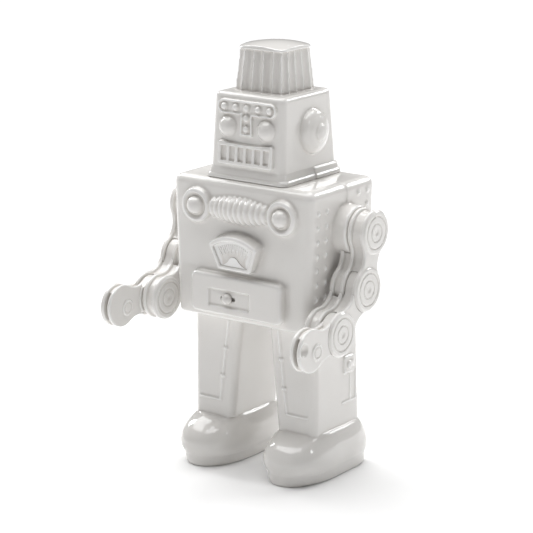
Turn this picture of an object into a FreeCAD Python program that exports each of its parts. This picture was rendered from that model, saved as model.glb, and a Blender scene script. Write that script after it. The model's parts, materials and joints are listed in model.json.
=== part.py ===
"""Toy-style humanoid robot figure, about 300 mm tall, built up from separate gloss-white shells.

Frame: +Z up, the face looks along -Y, +X is the robot's own left side. Everything is laid out about
the torso's centre line first and is moved along Y at export, so that the origin ends up in the middle
of the whole figure's footprint box, on the floor. Millimetres throughout.
"""

import FreeCAD
import Part
import math
import os

V = FreeCAD.Vector
X_AXIS = V(1, 0, 0)
Y_AXIS = V(0, 1, 0)
Z_AXIS = V(0, 0, 1)

# ---------------------------------------------------------------- driving dimensions
SEAM_Y = 3.0            # plane where front and back shells meet; shoulders and ears sit on it
BACK_STEP = 0.8         # the back shell and the back of the skirt stand this much proud

TORSO_BOTTOM, TORSO_TOP = 110.0, 209.0
TORSO_HALF_W_BOTTOM, TORSO_HALF_W_TOP = 55.8, 59.2
TORSO_FRONT, TORSO_BACK = -39.2, 37.0
TORSO_CORNER, TORSO_EDGE = 6.2, 6.0
SHELL = 3.0             # wall of the torso shells

HEAD_BOTTOM, HEAD_TOP = 216.5, 268.5
HEAD_HALF_W_BOTTOM, HEAD_HALF_W_TOP = 31.2, 29.3
HEAD_FRONT_BOTTOM, HEAD_FRONT_TOP = -32.6, -29.8
HEAD_BACK_BOTTOM, HEAD_BACK_TOP = 32.0, 27.6
HEAD_CORNER, HEAD_EDGE, HEAD_WALL = 5.0, 3.6, 2.5
NECK_GAP = 0.1          # the skirt turns on the torso's top like a thrust bearing
NECK_POST_R = 8.0
RUNNING = 0.05          # radial clearance of every turning fit

CROWN_TOP = 302.0
CROWN_Y = 1.2           # the crown sits a little behind the torso's centre line
CROWN_HALF_W_BOTTOM, CROWN_HALF_W_TOP = 21.8, 20.0
CROWN_HALF_D_BOTTOM, CROWN_HALF_D_TOP = 21.8, 19.2
CROWN_CORNER = 7.0
FLUTES_PER_SIDE = 5

SHOULDER_Z = 178.0
HUB_R = 17.0
EAR_Z = 241.8

ARM_OUTER = 83.0                        # outer face of the arm links
OUTER_CHEEK, MIDDLE_CHEEK, INNER_CHEEK = (80.0, 83.0), (70.0, 73.0), (62.0, 65.0)
CORE, WEB = (73.0, 80.0), (65.0, 70.0)  # recessed layers between the cheeks
HAND_CHEEK, HAND_CORE = (74.4, 77.0), (77.0, 80.0)
CAP = 1.0                               # pivot caps stand this much proud
TONGUE_GAP = 0.3                        # side clearance of a tongue between two cheeks
LINK_R, WAIST = 15.8, 8.2               # link end radius and half width of its waist
GROOVE = 2.2                            # depth of the grooves between the cheeks
LINK_GAP = 0.35                         # clearance round a link end
SHOULDER_PIN_R, PIN_R = 3.0, 2.5
SHOULDER = V(0, SEAM_Y, SHOULDER_Z)
ELBOW = V(0, -5.5, 140.0)
WRIST = V(0, -36.5, 115.5)
PALM = V(0, -70.5, 112.0)
PALM_R, PALM_WAIST = 15.0, 10.5
RIGHT_ARM_RAISE = 4.8                   # the right arm rests this many degrees further forward

LEG_TOP, LEG_BOTTOM = TORSO_BOTTOM, 33.0
LEG_OUTER = 52.5
LEG_INNER_TOP, LEG_INNER_BOTTOM = 12.0, 19.3
LEG_FRONT, LEG_BACK_TOP, LEG_BACK_BOTTOM = -24.3, 29.0, 33.0
LEG_CORNER, LEG_WALL = 5.5, 2.6

SHOE_X, SHOE_HALF_W = 36.5, 22.2
SHOE_MID_Y, SHOE_FRONT, SHOE_BACK = -4.0, -45.4, 40.6
SOLE = 8.0


# ---------------------------------------------------------------- small helpers
def rounded_rect(cx, cy, hx, hy, r, z):
    """Closed wire of a rectangle with round corners, level at height z."""
    arcs = []
    k = r * (1 - math.sqrt(0.5))
    for sx, sy in ((1, 1), (-1, 1), (-1, -1), (1, -1)):
        corner = [V(cx + sx * hx, cy + sy * (hy - r), z),
                  V(cx + sx * (hx - k), cy + sy * (hy - k), z),
                  V(cx + sx * (hx - r), cy + sy * hy, z)]
        arcs.append(corner if sx * sy > 0 else corner[::-1])
    edges = []
    for i, arc in enumerate(arcs):
        edges.append(Part.Arc(*arc).toShape())
        edges.append(Part.LineSegment(arc[2], arcs[(i + 1) % 4][0]).toShape())
    return Part.Wire(edges)


def tapered_box(bottom, top, corner):
    """Solid between two rounded rectangles, each given as (z, x0, x1, y0, y1)."""
    wires = []
    for z, x0, x1, y0, y1 in (bottom, top):
        wires.append(rounded_rect((x0 + x1) / 2, (y0 + y1) / 2, (x1 - x0) / 2, (y1 - y0) / 2, corner, z))
    return Part.makeLoft(wires, True, True)


def centred_box(z0, z1, half0, half1, corner):
    """Tapered box centred on the Z axis; half0 and half1 are its (x, y) half sizes at z0 and z1."""
    return tapered_box((z0, -half0[0], half0[0], -half0[1], half0[1]),
                       (z1, -half1[0], half1[0], -half1[1], half1[1]), corner)


def level_edges(shape, z):
    """Edges of a shape that lie level at height z."""
    return [e for e in shape.Edges if abs(e.BoundBox.ZMin - z) < 1e-3 and abs(e.BoundBox.ZMax - z) < 1e-3]


def edges_on_y(shape, y):
    """Edges of a shape that lie in the plane of that y."""
    return [e for e in shape.Edges if abs(e.BoundBox.YMin - y) < 1e-3 and abs(e.BoundBox.YMax - y) < 1e-3]


def box(x0, x1, y0, y1, z0, z1):
    return Part.makeBox(x1 - x0, y1 - y0, z1 - z0, V(x0, y0, z0))


def rod(r, start, direction, length):
    return Part.makeCylinder(r, length, start, direction)


def closed_face(points):
    """Face inside a loop of points; a middle element given as ('arc', p) makes the next stretch an arc."""
    edges, last, via = [], points[0], None
    for p in points[1:] + [points[0]]:
        if isinstance(p, tuple):
            via = p[1]
            continue
        edges.append(Part.Arc(last, via, p).toShape() if via else Part.LineSegment(last, p).toShape())
        last, via = p, None
    return Part.Face(Part.Wire(edges))


def mirrored(shape):
    return shape.mirror(V(0, 0, 0), X_AXIS)


def side_lines(z, bottom_z, top_z, bottom, top):
    """Straight-line value between bottom and top at height z."""
    return bottom + (top - bottom) * (z - bottom_z) / (top_z - bottom_z)


PARTS = {}


def add(name, *shapes):
    """Registers one named piece made of one or more separate solids."""
    solids = [s for shape in shapes for s in shape.Solids]
    PARTS[name] = solids[0] if len(solids) == 1 else Part.makeCompound(solids)


def add_pair(name, shape):
    """Registers the left piece and its mirror image on the right."""
    add("left_" + name, shape)
    add("right_" + name, mirrored(shape))


# ---------------------------------------------------------------- torso
def torso_box(z0, z1, grow, corner):
    """Torso-shaped tapered box, its side walls moved outwards by grow."""
    ends = []
    for z, half_w in ((z0, TORSO_HALF_W_BOTTOM + grow), (z1, TORSO_HALF_W_TOP + grow)):
        ends.append((z, -half_w, half_w, TORSO_FRONT - grow, TORSO_BACK + grow))
    return tapered_box(*ends, corner)


def torso_outer(grow):
    body = torso_box(TORSO_BOTTOM, TORSO_TOP, grow, TORSO_CORNER)
    body = body.makeFillet(TORSO_EDGE, level_edges(body, TORSO_TOP))
    return body.makeFillet(3.0, level_edges(body, TORSO_BOTTOM))


def torso_half_width(z):
    return side_lines(z, TORSO_BOTTOM, TORSO_TOP, TORSO_HALF_W_BOTTOM, TORSO_HALF_W_TOP)


def rounded_seam(half):
    """Half a body with its edge at the seam rounded, so that the two halves meet in a groove."""
    return half.makeFillet(0.9, edges_on_y(half, SEAM_Y))


FRONT_SIDE = box(-200, 200, -200, SEAM_Y, 0, 400)
BACK_SIDE = box(-200, 200, SEAM_Y, 200, 0, 400)
torso_front_outer = rounded_seam(torso_outer(0).common(FRONT_SIDE))
torso_back_outer = rounded_seam(torso_outer(BACK_STEP).common(BACK_SIDE))


def leg_bolt_places():
    """Centres of the two bolts through the top of the left leg."""
    return [V(32, y, 0) for y in (-6.0, 14.0)]


def torso_shells():
    inner = torso_box(TORSO_BOTTOM + SHELL, TORSO_TOP - SHELL, -SHELL, TORSO_CORNER - SHELL)
    holes = [rod(NECK_POST_R, V(0, 0, TORSO_TOP - 10), Z_AXIS, 20),
             rod(SHOULDER_PIN_R, SHOULDER - X_AXIS * 100, X_AXIS, 200)]
    for place in leg_bolt_places():
        for sign in (1, -1):
            holes.append(rod(2.0, V(sign * place.x, place.y, TORSO_BOTTOM - 1), Z_AXIS, 10))
    for outer, name in ((torso_front_outer, "torso_front_shell"), (torso_back_outer, "torso_back_shell")):
        shell = outer.cut(inner)
        for hole in holes:
            shell = shell.cut(hole)
        # screw posts reach from the back wall to the seam and from the seam into the front shell
        add(name, add_screw_posts(shell, name))


SCREW_PLACES = [(sx * 42.0, z) for sx in (1, -1) for z in (124.0, 196.0)]


def add_screw_posts(shell, name):
    for x, z in SCREW_PLACES:
        if name == "torso_front_shell":
            post = rod(4.0, V(x, SEAM_Y - 16, z), Y_AXIS, 16)
            post = post.cut(rod(1.5, V(x, SEAM_Y - 12, z), Y_AXIS, 12))
            wall = math.copysign(torso_half_width(z) - SHELL / 2, x)
            web = box(min(x, wall), max(x, wall), SEAM_Y - 16, SEAM_Y - 4, z - 1, z + 1)
            web = web.cut(rod(3.9, V(x, SEAM_Y - 20, z), Y_AXIS, 24))
            shell = shell.fuse([post, web])
        else:
            back = TORSO_BACK + BACK_STEP
            post = rod(4.0, V(x, SEAM_Y, z), Y_AXIS, back - 1.5 - SEAM_Y)
            shell = shell.fuse(post).cut(rod(1.6, V(x, SEAM_Y - 1, z), Y_AXIS, 60))
            shell = shell.cut(rod(3.2, V(x, SEAM_Y + 8, z), Y_AXIS, 60))
    return shell


def torso_screws():
    screws = []
    for x, z in SCREW_PLACES:
        shank = rod(1.5, V(x, SEAM_Y - 10, z), Y_AXIS, 18)
        head = rod(3.0, V(x, SEAM_Y + 8, z), Y_AXIS, 2.4)
        slot = box(x - 4, x + 4, SEAM_Y + 9.4, SEAM_Y + 11, z - 0.4, z + 0.4)
        screws.append(shank.fuse(head).cut(slot))
    add("torso_screws", *screws)


def chest_boss():
    """Round lamp boss: a central dome inside a rolled rim."""
    face_y = TORSO_FRONT
    profile = closed_face([V(0, 3, 0), V(0, -9, 0), ("arc", V(4.6, -7.1, 0)), V(6.3, -3.4, 0),
                           ("arc", V(7.3, -2.6, 0)), V(8.2, -3.2, 0), ("arc", V(10.2, -4.4, 0)),
                           V(12.0, -2.2, 0), V(12.5, 0, 0), V(12.5, 3, 0)])
    boss = profile.revolve(V(0, 0, 0), Y_AXIS, 360)
    boss.translate(V(36.2, face_y, 189.6))
    return boss.cut(torso_front_outer)


def chest_coil():
    """Barrel-shaped ribbed bellows lying between the two bosses."""
    ribs, length = 11, 48.0
    pitch = length / ribs
    axis_inset, end_r, middle_r, rib = 2.0, 5.6, 8.6, 1.5

    def barrel(x):
        return end_r + (middle_r - end_r) * math.cos(math.pi * x / length)

    loop = [V(-length / 2, 0, 0), V(-length / 2, 0, barrel(-length / 2))]
    for i in range(ribs):
        middle = -length / 2 + (i + 0.5) * pitch
        valley = middle + pitch / 2
        loop += [("arc", V(middle, 0, barrel(middle) + rib)), V(valley, 0, barrel(valley))]
    loop.append(V(length / 2, 0, 0))
    coil = closed_face(loop).revolve(V(0, 0, 0), X_AXIS, 360)
    coil.translate(V(0, TORSO_FRONT + axis_inset, 189.6))
    coil = coil.cut(torso_front_outer)
    for boss in (PARTS["left_chest_boss"], PARTS["right_chest_boss"]):
        coil = coil.cut(boss)
    add("chest_coil", max(coil.Solids, key=lambda s: s.Volume))


GAUGE_TILT = 6.0        # the gauge face leans this many degrees downwards
GAUGE_MIDDLE = 161.5
GAUGE_HEIGHT = 9.6


def gauge():
    """Fan-shaped meter: deep housing, sunk dial with radial ticks and a low bell over its pivot."""
    front = TORSO_FRONT - GAUGE_HEIGHT

    def fan(y, corner_x, corner_z, top, foot_x, foot_z):
        return closed_face([V(-foot_x, y, foot_z), V(foot_x, y, foot_z), V(corner_x, y, corner_z),
                            ("arc", V(0, y, top)), V(-corner_x, y, corner_z)])

    housing = fan(front, 20.3, 167.3, 174.0, 13.8, 149.3).extrude(Y_AXIS * (GAUGE_HEIGHT + 4))
    uprights = [e for e in housing.Edges if e.BoundBox.YLength > 5]
    housing = housing.makeFillet(2.6, uprights)
    housing = housing.makeFillet(1.1, edges_on_y(housing, front))
    sunk = 2.2
    window = fan(front - 1, 16.8, 165.6, 170.6, 11.2, 152.2).extrude(Y_AXIS * (sunk + 1))
    window = window.makeFillet(1.2, [e for e in window.Edges if e.BoundBox.YLength > 2])
    housing = housing.cut(window)

    plate_t, tick_t = 0.7, 0.45
    plate = fan(front + sunk - plate_t, 16.6, 165.45, 170.4, 11.05, 152.35).extrude(Y_AXIS * plate_t)
    ticks = []
    pivot_z, ticks_count = 143.5, 15
    for i in range(ticks_count):
        angle = math.radians(-30 + 60 * i / (ticks_count - 1))
        length = 6.2 if i % 2 == 0 else 3.6
        tick = box(-0.22, 0.22, -tick_t, 0.2, 25.0 - length, 25.0)
        tick.rotate(V(0, 0, 0), Y_AXIS, math.degrees(angle))
        tick.translate(V(0, front + sunk - plate_t, pivot_z))
        ticks.append(tick)
    bell = closed_face([V(-10.2, 0, 152.6), V(10.2, 0, 152.6), ("arc", V(6.2, 0, 154.6)), V(3.4, 0, 157.6),
                        ("arc", V(0, 0, 159.4)), V(-3.4, 0, 157.6), ("arc", V(-6.2, 0, 154.6))])
    bell.translate(V(0, front + 0.9, 0))
    bell = bell.extrude(Y_AXIS * (sunk - plate_t - 0.8))
    dial = plate.fuse(ticks + [bell])
    for shape, name in ((housing, "gauge_housing"), (dial, "gauge_dial")):
        shape.rotate(V(0, TORSO_FRONT, GAUGE_MIDDLE), X_AXIS, GAUGE_TILT)
        add(name, shape.cut(torso_front_outer))


PANEL_HALF_W, PANEL_Z0, PANEL_Z1, PANEL_HEIGHT = 38.6, 115.3, 143.8, 6.8
KNOB_X, KNOB_Z, KNOB_TRAVEL = -7.2, 127.4, 4.0


def control_panel():
    """Raised chest panel with a sunk, off-centre window that holds a sliding knob in a slot."""
    face = TORSO_FRONT
    front = face - PANEL_HEIGHT
    mid_z, half_z = (PANEL_Z0 + PANEL_Z1) / 2, (PANEL_Z1 - PANEL_Z0) / 2
    panel = rounded_rect(0, mid_z, PANEL_HALF_W, half_z, 5.0, 0)
    panel = Part.Face(panel).extrude(Z_AXIS * PANEL_HEIGHT)
    panel.rotate(V(0, 0, 0), X_AXIS, 90)
    panel.translate(V(0, face, 0))
    panel = panel.makeFillet(2.4, edges_on_y(panel, front))
    window = box(-23.0, 12.4, front - 1, front + 1.4, 121.2, 133.7)
    window = window.makeFillet(0.9, [e for e in window.Edges if e.BoundBox.YLength > 2])
    stem_half, end_gap = 1.9, 0.3
    slot_half = KNOB_TRAVEL + stem_half + end_gap
    slider_half = slot_half + KNOB_TRAVEL
    slot = box(KNOB_X - slot_half, KNOB_X + slot_half, front - 1, face + 1, KNOB_Z - 1.2, KNOB_Z + 1.2)
    cavity_half = slider_half + KNOB_TRAVEL + end_gap
    cavity = box(KNOB_X - cavity_half, KNOB_X + cavity_half, face - 3.2, face + 1, 121.0, 134.0)
    add("control_panel", panel.cut(window).cut(slot).cut(cavity))

    floor = front + 1.4
    front_half = box(KNOB_X - 5, KNOB_X + 5, floor - 6, floor - 0.3, KNOB_Z - 5, KNOB_Z + 5)
    knob = Part.makeSphere(4.0, V(KNOB_X, floor - 0.5, KNOB_Z)).common(front_half)
    stem = box(KNOB_X - stem_half, KNOB_X + stem_half, floor - 1, face - 1.6, KNOB_Z - 1.12, KNOB_Z + 1.12)
    slider = box(KNOB_X - slider_half, KNOB_X + slider_half, face - 2.9, face - 1.4,
                 KNOB_Z - 4.0, KNOB_Z + 4.0)
    add("switch_knob", knob.fuse([stem, slider]))


def side_rivets():
    """Dome rivets in double columns down each side of the torso, in front of and behind the arm."""
    pitch, dome_r, sunk = 9.9, 2.2, 0.9
    columns = [(-30.0, 193.4, 7), (-20.0, 193.4, 7), (16.0, 200.6, 1), (27.0, 200.6, 7)]
    domes = []
    for y, top_z, count in columns:
        for i in range(count):
            z = top_z - i * pitch
            grow = BACK_STEP if y > SEAM_Y else 0
            centre = V(torso_half_width(z) + grow - sunk, y, z)
            outer = torso_back_outer if y > SEAM_Y else torso_front_outer
            domes.append(Part.makeSphere(dome_r, centre).cut(outer))
    add("left_side_rivets", *domes)
    add("right_side_rivets", *[mirrored(d) for d in domes])


# ---------------------------------------------------------------- neck and head
def head_box(z0, z1, inset, corner):
    """Head-shaped tapered box, its side walls moved inwards by inset."""
    ends = []
    for z in (z0, z1):
        half_w = side_lines(z, HEAD_BOTTOM, HEAD_TOP, HEAD_HALF_W_BOTTOM, HEAD_HALF_W_TOP) - inset
        front = side_lines(z, HEAD_BOTTOM, HEAD_TOP, HEAD_FRONT_BOTTOM, HEAD_FRONT_TOP) + inset
        back = side_lines(z, HEAD_BOTTOM, HEAD_TOP, HEAD_BACK_BOTTOM, HEAD_BACK_TOP) - inset
        ends.append((z, -half_w, half_w, front, back))
    return tapered_box(*ends, corner)


head_outer = head_box(HEAD_BOTTOM, HEAD_TOP, 0, HEAD_CORNER)
head_outer = head_outer.makeFillet(HEAD_EDGE, level_edges(head_outer, HEAD_TOP))
head_front_outer = head_outer.common(FRONT_SIDE)
head_back_outer = head_outer.common(BACK_SIDE)


def neck():
    """Fixed post with a flange under the torso top; washer and screw hold the head down."""
    top = HEAD_BOTTOM + NECK_GAP
    post = rod(NECK_POST_R, V(0, 0, TORSO_TOP - SHELL - 3), Z_AXIS, top - TORSO_TOP + SHELL + 3)
    flange = rod(12.0, V(0, 0, TORSO_TOP - SHELL - 3), Z_AXIS, 3.0)
    bore = rod(2.5, V(0, 0, TORSO_TOP - SHELL - 4), Z_AXIS, 40)
    add("neck_post", post.fuse(flange).cut(bore))
    add("neck_washer", rod(11.5, V(0, 0, top), Z_AXIS, 1.5).cut(bore))
    head = rod(4.6, V(0, 0, top + 1.5), Z_AXIS, 2.6)
    shank = rod(2.5, V(0, 0, TORSO_TOP), Z_AXIS, top + 1.5 - TORSO_TOP)
    slot = box(-0.6, 0.6, -6, 6, top + 3.2, top + 5)
    add("neck_screw", shank.fuse(head).cut(slot))

    bore = rod(NECK_POST_R + RUNNING, V(0, 0, TORSO_TOP - 5), Z_AXIS, 20)
    front = skirt_outer(0).common(FRONT_SIDE)
    back = skirt_outer(BACK_STEP).common(BACK_SIDE)
    add("neck_skirt", front.fuse(back).cut(bore))


def skirt_outer(grow):
    """Flared foot of the head with a rolled lip just above the torso."""
    lip_bottom, lip_top = TORSO_TOP + NECK_GAP, TORSO_TOP + 3.2
    half_w, front, back = 34.2 + grow, -34.6 - grow, 33.6 + grow
    lip = tapered_box((lip_bottom, -half_w, half_w, front, back),
                      (lip_top, 0.6 - half_w, half_w - 0.6, front + 0.4, back - 0.4), 5.0)
    lip = lip.makeFillet(1.0, level_edges(lip, lip_top))
    top_half_w = HEAD_HALF_W_BOTTOM + 0.3 + grow
    flare = tapered_box((TORSO_TOP + 2.0, 1.0 - half_w, half_w - 1.0, front + 0.8, back - 0.8),
                        (HEAD_BOTTOM, -top_half_w, top_half_w, HEAD_FRONT_BOTTOM - 0.3 - grow,
                         HEAD_BACK_BOTTOM + 0.3 + grow), 5.0)
    return lip.fuse(flare).removeSplitter()


def head_shells():
    inner = head_box(HEAD_BOTTOM - 1, HEAD_TOP - HEAD_WALL, HEAD_WALL, HEAD_CORNER - HEAD_WALL)
    add("head_front_shell", head_front_outer.cut(inner))
    add("head_back_shell", head_back_outer.cut(inner))


def onto_face(shape):
    """Leans a piece modelled on an upright face plane back to the head's sloping front."""
    lean = math.degrees(math.atan2(HEAD_FRONT_TOP - HEAD_FRONT_BOTTOM, HEAD_TOP - HEAD_BOTTOM))
    shape.rotate(V(0, HEAD_FRONT_BOTTOM, HEAD_BOTTOM), X_AXIS, -lean)
    return shape


FACE = HEAD_FRONT_BOTTOM
BROW_HALF_W, BROW_Z, BROW_R = 24.4, 259.4, 4.9
NOSE_TOP, NOSE_FOOT, NOSE_Z = 4.4, 5.0, 240.6


def brow_outline(inset):
    """T-shaped face plate outline, shrunk by inset: a stadium brow with a nose below."""
    r = BROW_R - inset
    half = BROW_HALF_W - BROW_R
    brow = closed_face([V(-half, 0, BROW_Z - r), V(half, 0, BROW_Z - r), ("arc", V(half + r, 0, BROW_Z)),
                        V(half, 0, BROW_Z + r), V(-half, 0, BROW_Z + r), ("arc", V(-half - r, 0, BROW_Z))])
    nose = closed_face([V(-NOSE_FOOT + inset, 0, NOSE_Z + inset), V(NOSE_FOOT - inset, 0, NOSE_Z + inset),
                        V(NOSE_TOP - inset, 0, BROW_Z), V(-NOSE_TOP + inset, 0, BROW_Z)])
    return brow.fuse(nose).removeSplitter()


def face_pieces():
    """Brow plate with seven lamps, two round eyes and a barred mouth."""
    height, floor, sunk = 2.0, 0.8, 1.0
    plate = brow_outline(0).extrude(-Y_AXIS * (height + sunk))
    pocket = brow_outline(1.3).extrude(-Y_AXIS * height)
    plate.translate(V(0, FACE + sunk, 0))
    pocket.translate(V(0, FACE - floor, 0))
    add("brow_plate", onto_face(plate.cut(pocket)).cut(head_front_outer))

    lamps = []
    places = [(9.5 * i, BROW_Z) for i in range(-2, 3)] + [(0, 252.4), (0, 245.2)]
    for x, z in places:
        lamp = Part.makeSphere(2.5, V(x, FACE - floor - 0.3, z))
        lamp = lamp.common(box(x - 3, x + 3, FACE - floor - 5, FACE - floor, z - 3, z + 3))
        lamps.append(onto_face(lamp))
    add("brow_lamps", *lamps)

    eye = closed_face([V(0, 2, 0), V(0, -5.4, 0), ("arc", V(4.2, -4.2, 0)), V(6.2, -1.9, 0),
                       ("arc", V(6.9, -1.3, 0)), V(7.1, 0, 0), V(7.1, 2, 0)]).revolve(V(0, 0, 0), Y_AXIS, 360)
    eye.translate(V(16.1, FACE, 245.6))
    add_pair("eye", onto_face(eye).cut(head_front_outer))

    half_w, z0, z1, rim = 22.9, 219.6, 235.8, 2.6
    mouth_h, slots, slot_w = 2.6, 6, 4.9
    mouth = closed_face([V(-half_w, FACE + sunk, z0), V(half_w, FACE + sunk, z0), V(half_w, FACE + sunk, z1),
                         ("arc", V(0, FACE + sunk, z1 - 1.6)), V(-half_w, FACE + sunk, z1)])
    mouth = mouth.extrude(-Y_AXIS * (mouth_h + sunk))
    mouth = mouth.makeFillet(1.6, [e for e in mouth.Edges if e.BoundBox.YLength > 2])
    mouth = mouth.makeFillet(0.7, edges_on_y(mouth, FACE - mouth_h))
    pitch = (2 * (half_w - rim) - slot_w) / (slots - 1)
    for i in range(slots):
        x = -half_w + rim + slot_w / 2 + i * pitch
        slot = box(x - slot_w / 2, x + slot_w / 2, FACE - mouth_h - 1, FACE - 0.5, z0 + 2.5, z1 - 3.4)
        slot = slot.makeFillet(0.8, [e for e in slot.Edges if e.BoundBox.YLength > 1])
        mouth = mouth.cut(slot)
    add("mouth_grille", onto_face(mouth).cut(head_front_outer))


def ear():
    """Round-shouldered disc with a raised centre button, standing on the side of the head."""
    profile = closed_face([V(-4, 0, 0), V(9.8, 0, 0), ("arc", V(9.5, 3.4, 0)), V(8.4, 5.6, 0), V(7.2, 6.2, 0),
                           ("arc", V(6.7, 9.0, 0)), V(5.4, 11.6, 0), ("arc", V(3.9, 14.2, 0)),
                           V(1.4, 15.3, 0), V(0, 15.6, 0), V(-4, 15.6, 0)])
    disc = profile.revolve(V(0, 0, 0), X_AXIS, 360)
    half_w = side_lines(EAR_Z, HEAD_BOTTOM, HEAD_TOP, HEAD_HALF_W_BOTTOM, HEAD_HALF_W_TOP)
    disc.translate(V(half_w, SEAM_Y, EAR_Z))
    add_pair("ear", disc.cut(head_front_outer).cut(head_back_outer))


def crown():
    """Fluted comb, broader at its foot, under a thin domed cap."""
    cap_t = 4.6
    z0, z1 = HEAD_TOP, CROWN_TOP - cap_t
    comb = centred_box(z0, z1, (CROWN_HALF_W_BOTTOM, CROWN_HALF_D_BOTTOM),
                       (CROWN_HALF_W_TOP, CROWN_HALF_D_TOP), CROWN_CORNER)
    flute_r, reach = 4.7, 2.0
    for turned in (False, True):
        along0, out0 = CROWN_HALF_W_BOTTOM, CROWN_HALF_D_BOTTOM
        along1, out1 = CROWN_HALF_W_TOP, CROWN_HALF_D_TOP
        if turned:
            along0, out0, along1, out1 = out0, along0, out1, along1
        for i in range(FLUTES_PER_SIDE):
            share = (2 * i + 1) / FLUTES_PER_SIDE - 1
            for sign in (1, -1):
                foot = V(share * along0, sign * (out0 + reach), z0)
                head = V(share * along1, sign * (out1 + reach), z1)
                if turned:
                    foot, head = V(foot.y, foot.x, foot.z), V(head.y, head.x, head.z)
                way = head.sub(foot)
                comb = comb.cut(rod(flute_r, foot.sub(way), way, way.Length * 3))
    cap = centred_box(z1, CROWN_TOP, (CROWN_HALF_W_TOP - 0.2, CROWN_HALF_D_TOP - 0.2),
                      (CROWN_HALF_W_TOP - 0.8, CROWN_HALF_D_TOP - 0.8), CROWN_CORNER)
    dome_r = 92.0
    cap = cap.common(Part.makeSphere(dome_r, V(0, 0, CROWN_TOP - dome_r)))
    for name, shape in (("crown_comb", comb), ("crown_cap", cap)):
        shape.translate(Y_AXIS * CROWN_Y)
        add(name, shape)


# ---------------------------------------------------------------- arms
def link_face(a, b, ra, rb, waist):
    """Figure-eight face in the YZ plane: round ends at a and b joined by a waist with hollow sides."""
    way = b.sub(a)
    length = way.Length
    along = V(way).normalize()
    across = X_AXIS.cross(along)
    # hollow arc tangent to both ends that passes the waist: centre at (s, d) along and across
    s = length / 2 + (ra * ra - rb * rb) / (2 * length)
    for _ in range(60):
        hollow = (s * s + waist * waist - ra * ra) / (2 * (ra - waist))
        d = waist + hollow
        far = math.sqrt((rb + hollow) ** 2 - d * d)
        near = math.sqrt((ra + hollow) ** 2 - d * d)
        s += 0.5 * (length - far - near)
    near = math.sqrt((ra + hollow) ** 2 - d * d)

    def at(u, v):
        return a.add(along * u).add(across * v)

    centre = (near, d)
    ka, kb = ra / (ra + hollow), rb / (rb + hollow)
    pa = (centre[0] * ka, centre[1] * ka)
    pb = (length + (centre[0] - length) * kb, centre[1] * kb)
    mid = (near, waist)
    return closed_face([at(pa[0], -pa[1]), ("arc", at(mid[0], -mid[1])), at(pb[0], -pb[1]),
                        ("arc", at(length + rb, 0)), at(pb[0], pb[1]),
                        ("arc", at(mid[0], mid[1])), at(pa[0], pa[1]), ("arc", at(-ra, 0))])


def layer(face, x0, x1):
    """Extrudes a face that lies in x = 0 from x0 to x1."""
    solid = face.extrude(X_AXIS * (x1 - x0))
    solid.translate(X_AXIS * x0)
    return solid


def disc(centre, r, x0, x1):
    return rod(r, V(x0, centre.y, centre.z), X_AXIS, x1 - x0)


TONGUE = (CORE[0] + TONGUE_GAP, CORE[1] - TONGUE_GAP)
TONGUE_R = LINK_R - GROOVE


def arm_link(start, end, r_end, waist, cheek_layers, core_layers, has_tongue, holds_next):
    """One arm link: soft-edged cheeks on recessed cores, with a tongue at its start if it follows
    another link and an open slot at its end if it holds the next one."""
    profile = link_face(start, end, LINK_R, r_end, waist)
    core_profile = link_face(start, end, LINK_R - GROOVE, r_end - GROOVE, waist - GROOVE)
    layers = []
    for x0, x1 in cheek_layers:
        cheek = layer(profile, x0, x1)
        if has_tongue:
            cheek = cheek.cut(disc(start, LINK_R + LINK_GAP, x0 - 1, x1 + 1))
        layers.append(cheek.makeFillet(0.9, rim_edges(cheek, x0) + rim_edges(cheek, x1)))
    for x0, x1 in core_layers:
        core = layer(core_profile, x0, x1)
        if has_tongue:
            core = core.cut(disc(start, LINK_R + LINK_GAP, x0 - 1, x1 + 1))
        layers.append(core)
    link = layers[0].fuse(layers[1:])
    if has_tongue:
        link = link.fuse(layer(core_profile, *TONGUE).common(disc(start, LINK_R + LINK_GAP + 1, *CORE)))
    if holds_next:
        link = link.cut(disc(end, TONGUE_R + LINK_GAP, *CORE))
    return link


def rim_edges(shape, x):
    return [e for e in shape.Edges if abs(e.BoundBox.XMin - x) < 1e-3 and abs(e.BoundBox.XMax - x) < 1e-3]


def pivot_cap(centre, x_face, outward, r=14.6, rings=((11.3, 0.7), (6.2, 0.65)), dimple=True):
    """Round cover over a pivot, with fine ring grooves and a centre dimple."""
    top = CAP
    cap = Part.makeCylinder(r, top, V(0, 0, 0), X_AXIS)
    cap = cap.makeFillet(0.55, rim_edges(cap, top))
    for ring_r, half in rings:
        groove = Part.makeTorus(ring_r, half, V(top, 0, 0), X_AXIS)
        cap = cap.cut(groove)
    if dimple:
        dimple_r, dimple_depth = 5.0, 0.7
        cap = cap.cut(Part.makeSphere(dimple_r, V(top + dimple_r - dimple_depth, 0, 0)))
    if outward < 0:
        cap = mirrored(cap)
    cap.translate(V(x_face, centre.y, centre.z))
    return cap


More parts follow.
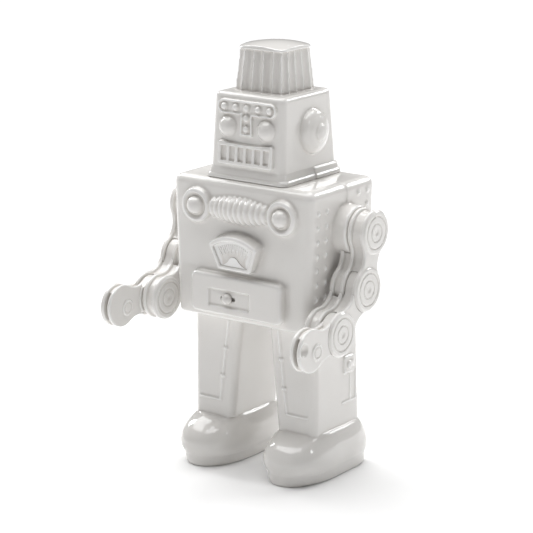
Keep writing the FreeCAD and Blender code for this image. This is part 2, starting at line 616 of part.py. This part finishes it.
def arms():
    hub_end = MIDDLE_CHEEK[0] - 0.3
    hub = rod(HUB_R, V(50, SEAM_Y, SHOULDER_Z), X_AXIS, hub_end - 50)
    hub = hub.makeFillet(1.5, rim_edges(hub, hub_end))
    hub = hub.cut(torso_front_outer).cut(torso_back_outer)
    hub = hub.cut(disc(SHOULDER, SHOULDER_PIN_R, 0, 100))
    add_pair("shoulder_hub", max(hub.Solids, key=lambda s: s.Volume))
    pin_end, recess, clip_t, neck_r = ARM_OUTER - 0.4, ARM_OUTER - 2.6, 1.2, 2.4
    pin_head = 51.0, 54.4
    pin = disc(SHOULDER, SHOULDER_PIN_R, pin_head[0], pin_end).fuse(disc(SHOULDER, 6.0, *pin_head))
    groove = disc(SHOULDER, 5, recess + 0.3, recess + 0.3 + clip_t).cut(disc(SHOULDER, neck_r, 0, 100))
    add_pair("shoulder_pin", pin.cut(groove))
    clip = disc(SHOULDER, 5.4, recess + 0.3, recess + 0.3 + clip_t).cut(disc(SHOULDER, neck_r, 0, 100))
    mouth = box(recess, ARM_OUTER, SEAM_Y - 1.6, SEAM_Y + 1.6, SHOULDER_Z - 8, SHOULDER_Z)
    add_pair("shoulder_clip", clip.cut(mouth))

    deep_cheeks, deep_cores = (OUTER_CHEEK, MIDDLE_CHEEK, INNER_CHEEK), (CORE, WEB)
    upper = arm_link(SHOULDER, ELBOW, LINK_R, WAIST, deep_cheeks, deep_cores, False, True)
    upper = upper.cut(disc(SHOULDER, HUB_R + LINK_GAP, INNER_CHEEK[0] - 1, MIDDLE_CHEEK[0]))
    upper = upper.cut(disc(SHOULDER, 6.2, recess, 100))
    upper = upper.cut(disc(SHOULDER, SHOULDER_PIN_R + RUNNING, 60, 100)).cut(disc(ELBOW, PIN_R, 60, 100))
    add_arm_pair("upper_arm", upper)
    forearm = arm_link(ELBOW, WRIST, LINK_R, WAIST, deep_cheeks, deep_cores, True, True)
    forearm = forearm.cut(disc(ELBOW, PIN_R + RUNNING, 60, 100)).cut(disc(WRIST, PIN_R, 60, 100))
    add_arm_pair("forearm", forearm)
    hand = arm_link(WRIST, PALM, PALM_R, PALM_WAIST, (OUTER_CHEEK, HAND_CHEEK), (HAND_CORE,), True, False)
    fingertip_slot = disc(PALM.add(V(0, -16, 0)), 12.0, *HAND_CORE)
    dimple_r, dimple_depth = 5.6, 2.5
    dimple = Part.makeSphere(dimple_r, V(ARM_OUTER + dimple_r - dimple_depth, -80.0, 114.6))
    hand = hand.cut(fingertip_slot).cut(dimple)
    add_arm_pair("hand", hand.cut(disc(WRIST, PIN_R + RUNNING, 60, 100)))
    for name, centre in (("elbow_pin", ELBOW), ("wrist_pin", WRIST)):
        add_arm_pair(name, disc(centre, PIN_R, INNER_CHEEK[0], ARM_OUTER))

    small = {"r": 5.6, "rings": ((3.6, 0.5),), "dimple": False}
    knuckle = V(0, -66.0, 110.3)
    for name, outer, inner, inner_x, style in (
            ("upper_arm_caps", (SHOULDER, ELBOW), (ELBOW,), INNER_CHEEK[0], {}),
            ("forearm_caps", (WRIST,), (WRIST,), INNER_CHEEK[0], {}),
            ("hand_caps", (knuckle,), (knuckle,), HAND_CHEEK[0], small)):
        caps = [pivot_cap(centre, ARM_OUTER, 1, **style) for centre in outer]
        caps += [pivot_cap(centre, inner_x, -1, **style) for centre in inner]
        add_arm_pair(name, Part.makeCompound(caps))


def add_arm_pair(name, shape):
    """Registers a left arm piece and its mirror image, turned to the right arm's rest position."""
    add("left_" + name, shape)
    right = mirrored(shape)
    right.rotate(SHOULDER, X_AXIS, -RIGHT_ARM_RAISE)
    add("right_" + name, right)


# ---------------------------------------------------------------- legs and shoes
def leg():
    """Hollow leg column with ridged lines on its front and side, and a latch plate let into its side."""
    column = tapered_box((LEG_BOTTOM, LEG_INNER_BOTTOM, LEG_OUTER, LEG_FRONT, LEG_BACK_BOTTOM),
                         (LEG_TOP, LEG_INNER_TOP, LEG_OUTER, LEG_FRONT, LEG_BACK_TOP), LEG_CORNER)
    cavity = tapered_box((LEG_BOTTOM + LEG_WALL, LEG_INNER_BOTTOM + LEG_WALL, LEG_OUTER - LEG_WALL,
                          LEG_FRONT + LEG_WALL, LEG_BACK_BOTTOM - LEG_WALL),
                         (LEG_TOP - LEG_WALL, LEG_INNER_TOP + LEG_WALL, LEG_OUTER - LEG_WALL,
                          LEG_FRONT + LEG_WALL, LEG_BACK_TOP - LEG_WALL), LEG_CORNER - LEG_WALL)
    top, foot = V(21.5, LEG_FRONT, 104.5), V(29.0, LEG_FRONT, 45.5)
    ridge_r = 0.9
    seam = [rod(ridge_r, top, foot.sub(top), foot.sub(top).Length), Part.makeSphere(ridge_r, foot),
            rod(ridge_r, foot, X_AXIS, 46.5 - foot.x), Part.makeSphere(ridge_r, V(46.5, LEG_FRONT, foot.z)),
            Part.makeSphere(ridge_r, top)]
    for share in (0.34, 0.69):
        middle = top.add(foot.sub(top) * share)
        seam.append(box(middle.x - 1.6, middle.x + 1.6, LEG_FRONT - 1.1, LEG_FRONT + 0.5,
                        middle.z - 1.0, middle.z + 1.0))
    column = column.fuse(seam).cut(cavity)
    for place in leg_bolt_places():
        column = column.cut(rod(2.0, V(place.x, place.y, LEG_TOP - 10), Z_AXIS, 20))
    for place in ankle_bolt_places():
        column = column.cut(rod(2.0, V(place.x, place.y, LEG_BOTTOM - 5), Z_AXIS, 10))

    column = column.fuse(rod(0.7, V(LEG_OUTER, 9.0, 49.5), Y_AXIS, 20))
    for y in (18.7, 25.7):
        column = column.fuse(rod(0.7, V(LEG_OUTER, y, 49.5), Z_AXIS, 22))
    latch_plate = box(LEG_OUTER - 1.2, LEG_OUTER + 1.7, 10.0, 22.4, 70.6, 82.8)
    latch_plate = latch_plate.makeFillet(1.6, [e for e in latch_plate.Edges if e.BoundBox.XLength > 1])
    add_pair("leg_column", column.cut(latch_plate))
    latch_plate = latch_plate.makeFillet(0.8, rim_edges(latch_plate, LEG_OUTER + 1.7))
    boss = rod(2.6, V(LEG_OUTER, 15.0, 76.5), X_AXIS, 3.2)
    hook = box(LEG_OUTER, LEG_OUTER + 2.6, 15.0, 20.4, 75.4, 79.1)
    add_pair("leg_latch", latch_plate.fuse([boss, hook]))


def ankle_bolt_places():
    return [V(SHOE_X, y, 0) for y in (-8.0, 20.0)]


def egg(z, half_w, front, back, toe):
    """Closed shoe outline at height z from a superellipse: a round toe, squarer as the exponent toe
    rises above 2, and a square heel."""
    points, count, heel = [], 32, 4.4
    for i in range(count):
        t = 2 * math.pi * i / count
        c, s = math.cos(t), math.sin(t)
        power = toe if s < 0 else heel
        reach = (SHOE_MID_Y - front) if s < 0 else (back - SHOE_MID_Y)
        points.append(V(SHOE_X + half_w * math.copysign(abs(c) ** (2 / power), c),
                        SHOE_MID_Y + reach * math.copysign(abs(s) ** (2 / power), s), z))
    curve = Part.BSplineCurve()
    curve.interpolate(Points=points, PeriodicFlag=True)
    return Part.Wire(curve.toShape())


def shoe():
    """Bulbous boot on a flat sole."""
    stations = ((SOLE, SHOE_HALF_W + 0.3, SHOE_FRONT, SHOE_BACK - 0.3, 2.3),
                (13.0, SHOE_HALF_W + 1.6, SHOE_FRONT - 1.0, SHOE_BACK + 0.4, 2.7),
                (20.0, SHOE_HALF_W + 1.3, SHOE_FRONT + 0.2, SHOE_BACK, 2.8),
                (27.0, SHOE_HALF_W - 0.4, SHOE_FRONT + 6.4, SHOE_BACK - 2.2, 2.7),
                (31.3, SHOE_HALF_W - 2.4, SHOE_FRONT + 14.0, SHOE_BACK - 4.4, 2.5),
                (LEG_BOTTOM, SHOE_HALF_W - 3.8, SHOE_FRONT + 19.6, SHOE_BACK - 6.2, 2.4))
    upper = Part.makeLoft([egg(*station) for station in stations], True, False)
    wall = 3.0
    hollow = Part.makeLoft([egg(z, half_w - wall, front + wall, back - wall, toe)
                            for z, half_w, front, back, toe in stations[:4]], True, False)
    upper = upper.cut(hollow)
    for place in ankle_bolt_places():
        upper = upper.cut(rod(2.0, V(place.x, place.y, 20), Z_AXIS, 20))
    add_pair("shoe_upper", upper)
    sole = Part.makeLoft([egg(0, SHOE_HALF_W - 0.8, SHOE_FRONT + 0.9, SHOE_BACK - 0.9, 2.1),
                          egg(1.2, SHOE_HALF_W - 0.1, SHOE_FRONT + 0.3, SHOE_BACK - 0.3, 2.15),
                          egg(SOLE, SHOE_HALF_W + 0.2, SHOE_FRONT, SHOE_BACK - 0.2, 2.3)], True, True)
    add_pair("shoe_sole", sole)


def leg_bolts():
    """Hex-head bolts that hold each leg to the torso and each shoe to its leg."""
    bolts = []

    def bolt(place, head_z, head_t, shank_z0, shank_z1):
        ring = [V(3.6 * math.cos(math.pi * i / 3), 3.6 * math.sin(math.pi * i / 3), 0) for i in range(6)]
        head = closed_face(ring).extrude(Z_AXIS * head_t)
        head.translate(V(place.x, place.y, head_z))
        shank = rod(2.0, V(place.x, place.y, shank_z0), Z_AXIS, shank_z1 - shank_z0)
        return head.fuse(shank)

    for place in leg_bolt_places():
        bolts.append(bolt(place, LEG_TOP - LEG_WALL - 3, 3, LEG_TOP - LEG_WALL - 3, TORSO_BOTTOM + SHELL + 4))
    for place in ankle_bolt_places():
        bolts.append(bolt(place, LEG_BOTTOM + LEG_WALL, 3, LEG_BOTTOM - 9, LEG_BOTTOM + LEG_WALL + 3))
    add("leg_bolts", *(bolts + [mirrored(b) for b in bolts]))


# ---------------------------------------------------------------- assembly
torso_shells()
torso_screws()
add_pair("chest_boss", chest_boss())
chest_coil()
gauge()
control_panel()
side_rivets()
neck()
head_shells()
face_pieces()
ear()
crown()
arms()
leg()
shoe()
leg_bolts()

whole = FreeCAD.BoundBox()
for piece in PARTS.values():
    whole.add(piece.BoundBox)
to_origin = V(0, -(whole.YMin + whole.YMax) / 2, -whole.ZMin)
print("nodes", len(PARTS), "moved along Y by", round(to_origin.y, 4), "box", whole)
os.makedirs("parts", exist_ok=True)
for name, piece in PARTS.items():
    piece.translate(to_origin)
    if not piece.isValid() or piece.Volume <= 0:
        print("check", name, piece.isValid(), round(piece.Volume, 1))
    piece.exportStep("parts/" + name + ".step")
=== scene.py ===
"""Looks for the white glazed toy robot: soft glaze-rounded skins over the CAD frame, studio and camera."""
import json
import math

import bmesh
import bpy
import numpy as np
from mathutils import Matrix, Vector
from mathutils.bvhtree import BVHTree

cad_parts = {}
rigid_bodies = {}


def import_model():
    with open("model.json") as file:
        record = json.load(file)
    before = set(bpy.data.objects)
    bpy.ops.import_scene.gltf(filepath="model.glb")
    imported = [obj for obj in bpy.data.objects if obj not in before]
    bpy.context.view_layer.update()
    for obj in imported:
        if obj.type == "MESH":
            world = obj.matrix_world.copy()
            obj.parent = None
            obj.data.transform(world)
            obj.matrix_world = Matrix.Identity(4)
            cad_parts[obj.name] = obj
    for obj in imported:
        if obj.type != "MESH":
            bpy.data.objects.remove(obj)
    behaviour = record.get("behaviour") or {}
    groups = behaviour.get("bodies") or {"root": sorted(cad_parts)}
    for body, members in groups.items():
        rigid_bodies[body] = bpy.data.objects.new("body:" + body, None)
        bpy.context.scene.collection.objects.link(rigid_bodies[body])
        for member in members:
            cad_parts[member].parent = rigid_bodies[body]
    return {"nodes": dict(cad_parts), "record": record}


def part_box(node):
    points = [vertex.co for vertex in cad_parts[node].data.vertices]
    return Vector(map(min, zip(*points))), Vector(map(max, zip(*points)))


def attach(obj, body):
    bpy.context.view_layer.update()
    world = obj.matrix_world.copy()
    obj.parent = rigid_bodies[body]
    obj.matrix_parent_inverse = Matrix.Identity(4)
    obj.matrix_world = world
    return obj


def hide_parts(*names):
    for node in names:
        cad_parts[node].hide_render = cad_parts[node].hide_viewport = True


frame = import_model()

MM = 0.001
NODES = frame["nodes"]
RECORD = frame["record"]
BODY_OF = {node: body for body, members in RECORD["behaviour"]["bodies"].items() for node in members}
SLOT_OF = {part["node"]: part["material_slot"] for part in RECORD["subparts"]}
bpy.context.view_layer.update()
AXIS_Y = sum(corner.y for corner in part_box("neck_post")) / 2     # the torso's centre line
SHARP_EDGE = math.radians(32)


def linked(name, data):
    """A new object with the data, in the scene."""
    obj = bpy.data.objects.new(name, data)
    bpy.context.scene.collection.objects.link(obj)
    return obj


# ------------------------------------------------------------------ materials
def new_material(name):
    """A new material, its nodes, its links and its Principled shader."""
    mat = bpy.data.materials.new(name)
    mat.use_nodes = True
    return mat, mat.node_tree.nodes, mat.node_tree.links, mat.node_tree.nodes["Principled BSDF"]


def ramp_through(nodes, links, source, stops):
    """Colour ramp through the stops (position, colour), driven by the source."""
    ramp = nodes.new("ShaderNodeValToRGB")
    elements = ramp.color_ramp.elements
    while len(elements) < len(stops):
        elements.new(1.0)
    for element, (position, colour) in zip(elements, stops):
        element.position, element.color = position, (*colour, 1)
    links.new(source, ramp.inputs["Fac"])
    return ramp.outputs["Color"]


def ramp_between(nodes, links, source, low, high, start, end):
    """Colour ramp from low to high as the source goes from start to end."""
    return ramp_through(nodes, links, source, [(start, low), (end, high)])


def multiplied(nodes, links, first, second):
    """Product of two colours."""
    mix = nodes.new("ShaderNodeMix")
    mix.data_type, mix.blend_type = "RGBA", "MULTIPLY"
    mix.inputs["Factor"].default_value = 1.0
    links.new(first, mix.inputs["A"])
    links.new(second, mix.inputs["B"])
    return mix.outputs["Result"]


def roughen(nodes, links, shader, source, start, end, low, high):
    """Roughness of the shader from low to high as the source goes from start to end."""
    spread = nodes.new("ShaderNodeMapRange")
    spread.inputs["From Min"].default_value, spread.inputs["From Max"].default_value = start, end
    spread.inputs["To Min"].default_value, spread.inputs["To Max"].default_value = low, high
    links.new(source, spread.inputs["Value"])
    links.new(spread.outputs["Result"], shader.inputs["Roughness"])


def emboss(nodes, links, shader, height, strength, depth):
    """Fine relief of the shader's normal from the height, depth in metres."""
    bump = nodes.new("ShaderNodeBump")
    bump.inputs["Strength"].default_value, bump.inputs["Distance"].default_value = strength, depth
    links.new(height, bump.inputs["Height"])
    links.new(bump.outputs["Normal"], shader.inputs["Normal"])


def noise(nodes, links, coords, scale, detail=2.0, roughness=0.5):
    """Noise texture in object space; scale is in features per metre."""
    texture = nodes.new("ShaderNodeTexNoise")
    texture.inputs["Scale"].default_value = scale
    texture.inputs["Detail"].default_value = detail
    texture.inputs["Roughness"].default_value = roughness
    links.new(coords, texture.inputs["Vector"])
    return texture.outputs["Fac"]


def white_glaze():
    """Milky body under a clear glaze: slight warm and cool drifts, tiny specks, a painted highlight that
    whitens the edges, painted shade that darkens the grooves and, warmer, the hollows, with a little orange
    peel."""
    mat, nodes, links, shader = new_material("white_glaze")
    coords = nodes.new("ShaderNodeTexCoord").outputs["Object"]
    drift = noise(nodes, links, coords, 22, 3.0)
    tone = ramp_between(nodes, links, drift, (0.925, 0.918, 0.908), (0.952, 0.948, 0.942), 0.35, 0.65)
    specks = noise(nodes, links, coords, 1500, 1.0)
    speck_tone = ramp_between(nodes, links, specks, (0.93, 0.92, 0.905), (1, 1, 1), 0.24, 0.30)
    # painted light by pointiness: a painted highlight whitens convex edges, painted shade darkens grooves
    curve = nodes.new("ShaderNodeNewGeometry").outputs["Pointiness"]
    painted_groove_shade, on_flats, painted_edge_highlight = (0.79, 0.765, 0.735), (0.882, 0.868, 0.848), (1, 1, 1)
    edge_highlight_and_groove_shade = ramp_through(nodes, links, curve, [(0.455, painted_groove_shade), (0.492, on_flats),
                                                   (0.508, on_flats), (0.54, painted_edge_highlight)])
    # painted shade: ambient occlusion darkens and warms the colour in hollows and creases
    hollow = nodes.new("ShaderNodeAmbientOcclusion")
    hollow.samples = 4
    hollow.inputs["Distance"].default_value = 4 * MM
    painted_hollow_shade = ramp_between(nodes, links, hollow.outputs["AO"], (0.88, 0.862, 0.84), (1, 1, 1), 0.2, 0.9)
    flecked = multiplied(nodes, links, tone, speck_tone)
    body = multiplied(nodes, links, multiplied(nodes, links, flecked, edge_highlight_and_groove_shade), painted_hollow_shade)
    links.new(body, shader.inputs["Base Color"])

    wear = noise(nodes, links, coords, 60, 4.0, 0.6)
    roughen(nodes, links, shader, wear, 0.3, 0.7, 0.05, 0.12)
    orange_peel = noise(nodes, links, coords, 130, 2.0)
    emboss(nodes, links, shader, orange_peel, 0.12, 0.35 * MM)
    shader.inputs["IOR"].default_value = 1.5
    shader.inputs["Coat Weight"].default_value = 0.35
    shader.inputs["Coat Roughness"].default_value = 0.03
    return mat


def plain_steel():
    """Turned steel of the hidden pins and screws, with fine lathe lines and a little tarnish."""
    mat, nodes, links, shader = new_material("plain_steel")
    coords = nodes.new("ShaderNodeTexCoord").outputs["Object"]
    tarnish = noise(nodes, links, coords, 180, 3.0)
    tone = ramp_between(nodes, links, tarnish, (0.50, 0.50, 0.51), (0.66, 0.66, 0.67), 0.35, 0.65)
    links.new(tone, shader.inputs["Base Color"])
    lines = nodes.new("ShaderNodeTexWave")
    lines.inputs["Scale"].default_value, lines.inputs["Distortion"].default_value = 900, 0.6
    links.new(coords, lines.inputs["Vector"])
    roughen(nodes, links, shader, lines.outputs["Fac"], 0, 1, 0.28, 0.42)
    emboss(nodes, links, shader, lines.outputs["Fac"], 0.2, 0.05 * MM)
    shader.inputs["Metallic"].default_value = 1.0
    return mat


MATERIALS = {"white_glaze": white_glaze(), "plain_steel": plain_steel()}
for name, node in NODES.items():
    node.data.materials.clear()
    node.data.materials.append(MATERIALS[SLOT_OF[name]])
    node.data.shade_smooth()
    keep_edges = node.modifiers.new("keep_edges", "EDGE_SPLIT")
    keep_edges.split_angle = SHARP_EDGE


# ------------------------------------------------------------------ glazed skins
SEARCH_MARGIN = 1.5 * MM      # how far from a node's box its skin may lie


def vectors_of(items, attribute):
    """(count, 3) array of a vector attribute of mesh items."""
    values = np.empty(len(items) * 3)
    items.foreach_get(attribute, values)
    return values.reshape(-1, 3)


def arrays_of(mesh):
    """(vertices, triangles) of a mesh as arrays."""
    mesh.calc_loop_triangles()
    corners = np.empty(len(mesh.loop_triangles) * 3, np.int32)
    mesh.loop_triangles.foreach_get("vertices", corners)
    return vectors_of(mesh.vertices, "co"), corners.reshape(-1, 3)


def core_arrays(name, inset):
    """(vertices, triangles) of the convex hull of a hollow node, shrunk by inset mm on every side."""
    points = np.unique(np.round(arrays_of(NODES[name].data)[0] / MM), axis=0) * MM
    low, high = points.min(0), points.max(0)
    middle, half = (low + high) / 2, (high - low) / 2
    points = middle + (points - middle) * (half - inset * MM) / half
    hull = bmesh.new()
    for point in points:
        hull.verts.new(point)
    bmesh.ops.convex_hull(hull, input=hull.verts)
    bmesh.ops.triangulate(hull, faces=hull.faces)
    mesh = bpy.data.meshes.new("core")
    hull.to_mesh(mesh)
    hull.free()
    return arrays_of(mesh)


def joined(solids):
    """One mesh of several (vertices, triangles)."""
    start, points, faces = 0, [], []
    for solid_points, triangles in solids:
        points.append(solid_points)
        faces.append(triangles + start)
        start += len(solid_points)
    mesh = bpy.data.meshes.new("rough")
    mesh.from_pydata(np.concatenate(points).tolist(), [], np.concatenate(faces).tolist())
    return mesh


def applied(obj):
    """The object's mesh with its modifiers applied. The object itself is removed."""
    graph = bpy.context.evaluated_depsgraph_get()
    mesh = bpy.data.meshes.new_from_object(obj.evaluated_get(graph), depsgraph=graph)
    bpy.data.objects.remove(obj)
    return mesh


def nearest_solid(spots, solids):
    """For each spot, the index of the solid with the nearest surface."""
    nearest, owner = np.full(len(spots), np.inf), np.zeros(len(spots), int)
    for index, (points, triangles) in enumerate(solids):
        tree = BVHTree.FromPolygons(points.tolist(), triangles.tolist())
        low, high = points.min(0) - SEARCH_MARGIN, points.max(0) + SEARCH_MARGIN
        for i in np.nonzero(((spots > low) & (spots < high)).all(1))[0]:
            distance = tree.find_nearest(spots[i])[3]
            if distance < nearest[i]:
                nearest[i], owner[i] = distance, index
    return owner


def divide(skin, owner, names):
    """Makes one piece per named node out of the quads of the skin whose corners it owns."""
    spots, normals = vectors_of(skin.vertices, "co"), vectors_of(skin.vertex_normals, "vector")
    quads = np.empty(len(skin.loops), np.int32)
    skin.loops.foreach_get("vertex_index", quads)
    quads = quads.reshape(-1, 4)
    quad_owner = np.sort(owner[quads], axis=1)[:, 2]
    for index, name in enumerate(names):
        used, local = np.unique(quads[quad_owner == index], return_inverse=True)
        mesh = bpy.data.meshes.new(name + "_glazed")
        mesh.from_pydata(spots[used].tolist(), [], local.reshape(-1, 4).tolist())
        mesh.shade_smooth()
        mesh.normals_split_custom_set_from_vertices(normals[used].tolist())
        mesh.materials.append(MATERIALS["white_glaze"])
        piece = linked(name + "_glazed", mesh)
        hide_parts(name)
        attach(piece, BODY_OF[name])


def glaze(members, voxel, cores=(), passes=8):
    """Covers the member nodes with one continuous skin, rounded as a poured glaze rounds it, and then
    divides the skin again into one piece per node. members maps node to how soft it gets, 0 to 1;
    voxel is the skin's grain in mm; cores lists (hollow node, inset) for every hollow not to be lined."""
    solids = [arrays_of(NODES[name].data) for name in members]
    rough = linked("rough", joined(solids + [core_arrays(*core) for core in cores]))
    remesh = rough.modifiers.new("skin", "REMESH")
    remesh.mode, remesh.voxel_size = "VOXEL", voxel * MM * 1.0
    skin = linked("skin", applied(rough))
    owner = nearest_solid(vectors_of(skin.data.vertices, "co"), solids)
    group = skin.vertex_groups.new(name="soft")
    for index, softness in enumerate(members.values()):
        group.add(np.nonzero(owner == index)[0].tolist(), softness, "REPLACE")
    smooth = skin.modifiers.new("smooth", "SMOOTH")
    smooth.factor, smooth.iterations, smooth.vertex_group = 0.5, passes, "soft"
    divide(applied(skin), owner, list(members))


def trim_slider(name, slider_depth, stem_length, room):
    """Leaves the stem of a sliding knob without a skin, because the slot it runs in is too narrow for one,
    and shrinks the skin of its hidden slider by room, so that it clears its pocket's rounded corners."""
    low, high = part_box(name)
    middle, half = (low + high) / 2, (high - low) / 2
    slider_front = high.y - slider_depth
    stem_front = slider_front - stem_length
    piece = bpy.data.objects[name + "_glazed"]
    skin = bmesh.new()
    skin.from_mesh(piece.data)
    stem = [face for face in skin.faces if stem_front < face.calc_center_median().y < slider_front]
    bmesh.ops.delete(skin, geom=stem, context="FACES")
    for vertex in skin.verts:
        if vertex.co.y > (stem_front + slider_front) / 2:
            vertex.co.x = middle.x + (vertex.co.x - middle.x) * (1 - room / half.x)
            vertex.co.z = middle.z + (vertex.co.z - middle.z) * (1 - room / half.z)
    skin.to_mesh(piece.data)
    skin.free()


SHELL, RELIEF, LINE, CRISP = 1.0, 0.45, 0.3, 0.16     # how soft shells, reliefs, thin lines and details get
WALL = 1.4                                            # a core stays this far inside its thin shell, in mm
glaze({"torso_front_shell": SHELL, "torso_back_shell": SHELL, "left_chest_boss": RELIEF,
       "right_chest_boss": RELIEF, "chest_coil": CRISP, "gauge_housing": RELIEF, "control_panel": RELIEF,
       "left_shoulder_hub": SHELL, "right_shoulder_hub": SHELL, "left_side_rivets": CRISP,
       "right_side_rivets": CRISP},
      0.7, [("torso_front_shell", WALL), ("torso_back_shell", WALL)])
glaze({"head_front_shell": SHELL, "head_back_shell": SHELL, "crown_comb": CRISP, "crown_cap": RELIEF,
       "left_ear": RELIEF, "right_ear": RELIEF, "brow_plate": CRISP, "brow_lamps": CRISP, "left_eye": RELIEF,
       "right_eye": RELIEF, "mouth_grille": CRISP, "neck_skirt": CRISP},
      0.5, [("head_front_shell", WALL), ("head_back_shell", WALL)])
glaze({"switch_knob": RELIEF}, 0.3, passes=6)
trim_slider("switch_knob", 1.6 * MM, 2.55 * MM, 0.6 * MM)
for side in ("left_", "right_"):
    glaze({side + "leg_column": LINE, side + "leg_latch": CRISP, side + "shoe_upper": SHELL,
           side + "shoe_sole": RELIEF}, 0.6, [(side + "leg_column", 1.8), (side + "shoe_upper", 1.6)])
    for link in ("upper_arm", "forearm", "hand"):
        glaze({side + link: RELIEF, side + link + "_caps": CRISP}, 0.42)


# ------------------------------------------------------------------ studio
def point_along(obj, direction):
    """Turns a light or camera so that it looks along the direction."""
    obj.rotation_mode = "QUATERNION"
    obj.rotation_quaternion = direction.to_track_quat("-Z", "Y")


def softbox(name, spot, size, power):
    """Area light of size (width, height) in metres, aimed at the middle of the figure."""
    data = bpy.data.lights.new(name, "AREA")
    data.shape, data.size, data.size_y = "RECTANGLE", *size
    data.energy = power
    light = linked(name, data)
    light.location = spot
    point_along(light, Vector((0, AXIS_Y, 0.15)) - Vector(spot))


def lights():
    """A dim room, one very soft light from above and three softboxes that draw the highlights."""
    world = bpy.data.worlds.new("studio")
    bpy.context.scene.world = world
    world.use_nodes = True
    room = world.node_tree.nodes["Background"]
    room.inputs["Color"].default_value = (1.0, 0.993, 0.98, 1)
    room.inputs["Strength"].default_value = 0.1
    overhead = bpy.data.lights.new("overhead", "SUN")
    overhead.energy, overhead.angle = 3.5, math.radians(66)
    point_along(linked("overhead", overhead), Vector((0.25, -0.14, -1.0)))
    softbox("left_window", (-1.0, AXIS_Y + 0.2, 0.66), (0.2, 0.34), 3.6)
    softbox("back_window", (0.3, AXIS_Y + 0.95, 0.76), (0.45, 0.3), 3.5)
    softbox("right_window", (1.0, AXIS_Y + 0.1, 0.7), (0.12, 0.3), 0.9)


def pale_floor():
    """Large sheet of matt white paper that glows faintly."""
    reach = 8
    mesh = bpy.data.meshes.new("floor")
    mesh.from_pydata([(-reach, -reach, 0), (reach, -reach, 0), (reach, reach, 0), (-reach, reach, 0)],
                     [], [(0, 1, 2, 3)])
    floor = linked("floor", mesh)
    mat, nodes, links, shader = new_material("pale_floor")
    coords = nodes.new("ShaderNodeTexCoord").outputs["Object"]
    fibres = noise(nodes, links, coords, 40)
    paper = ramp_between(nodes, links, fibres, (0.885, 0.885, 0.885), (0.9, 0.9, 0.9), 0, 1)
    links.new(paper, shader.inputs["Base Color"])
    shader.inputs["Roughness"].default_value = 0.9
    shader.inputs["Specular IOR Level"].default_value = 0.1
    shader.inputs["Emission Color"].default_value = (1, 1, 1, 1)
    shader.inputs["Emission Strength"].default_value = 0.02
    mesh.materials.append(mat)


def camera():
    """Long lens, a little above, on the robot's left front."""
    azimuth, elevation, distance = math.radians(36.13), math.radians(14.61), 1.58207
    aim = Vector((-6.39 * MM, AXIS_Y, 141.29 * MM))
    away = Vector((math.sin(azimuth) * math.cos(elevation), -math.cos(azimuth) * math.cos(elevation),
                   math.sin(elevation)))
    data = bpy.data.cameras.new("camera")
    data.lens, data.sensor_width = 152.0, 36.0
    view = linked("camera", data)
    view.location = aim + away * distance
    point_along(view, -away)
    bpy.context.scene.camera = view


lights()
pale_floor()
camera()
bpy.context.scene.view_settings.view_transform = "Standard"
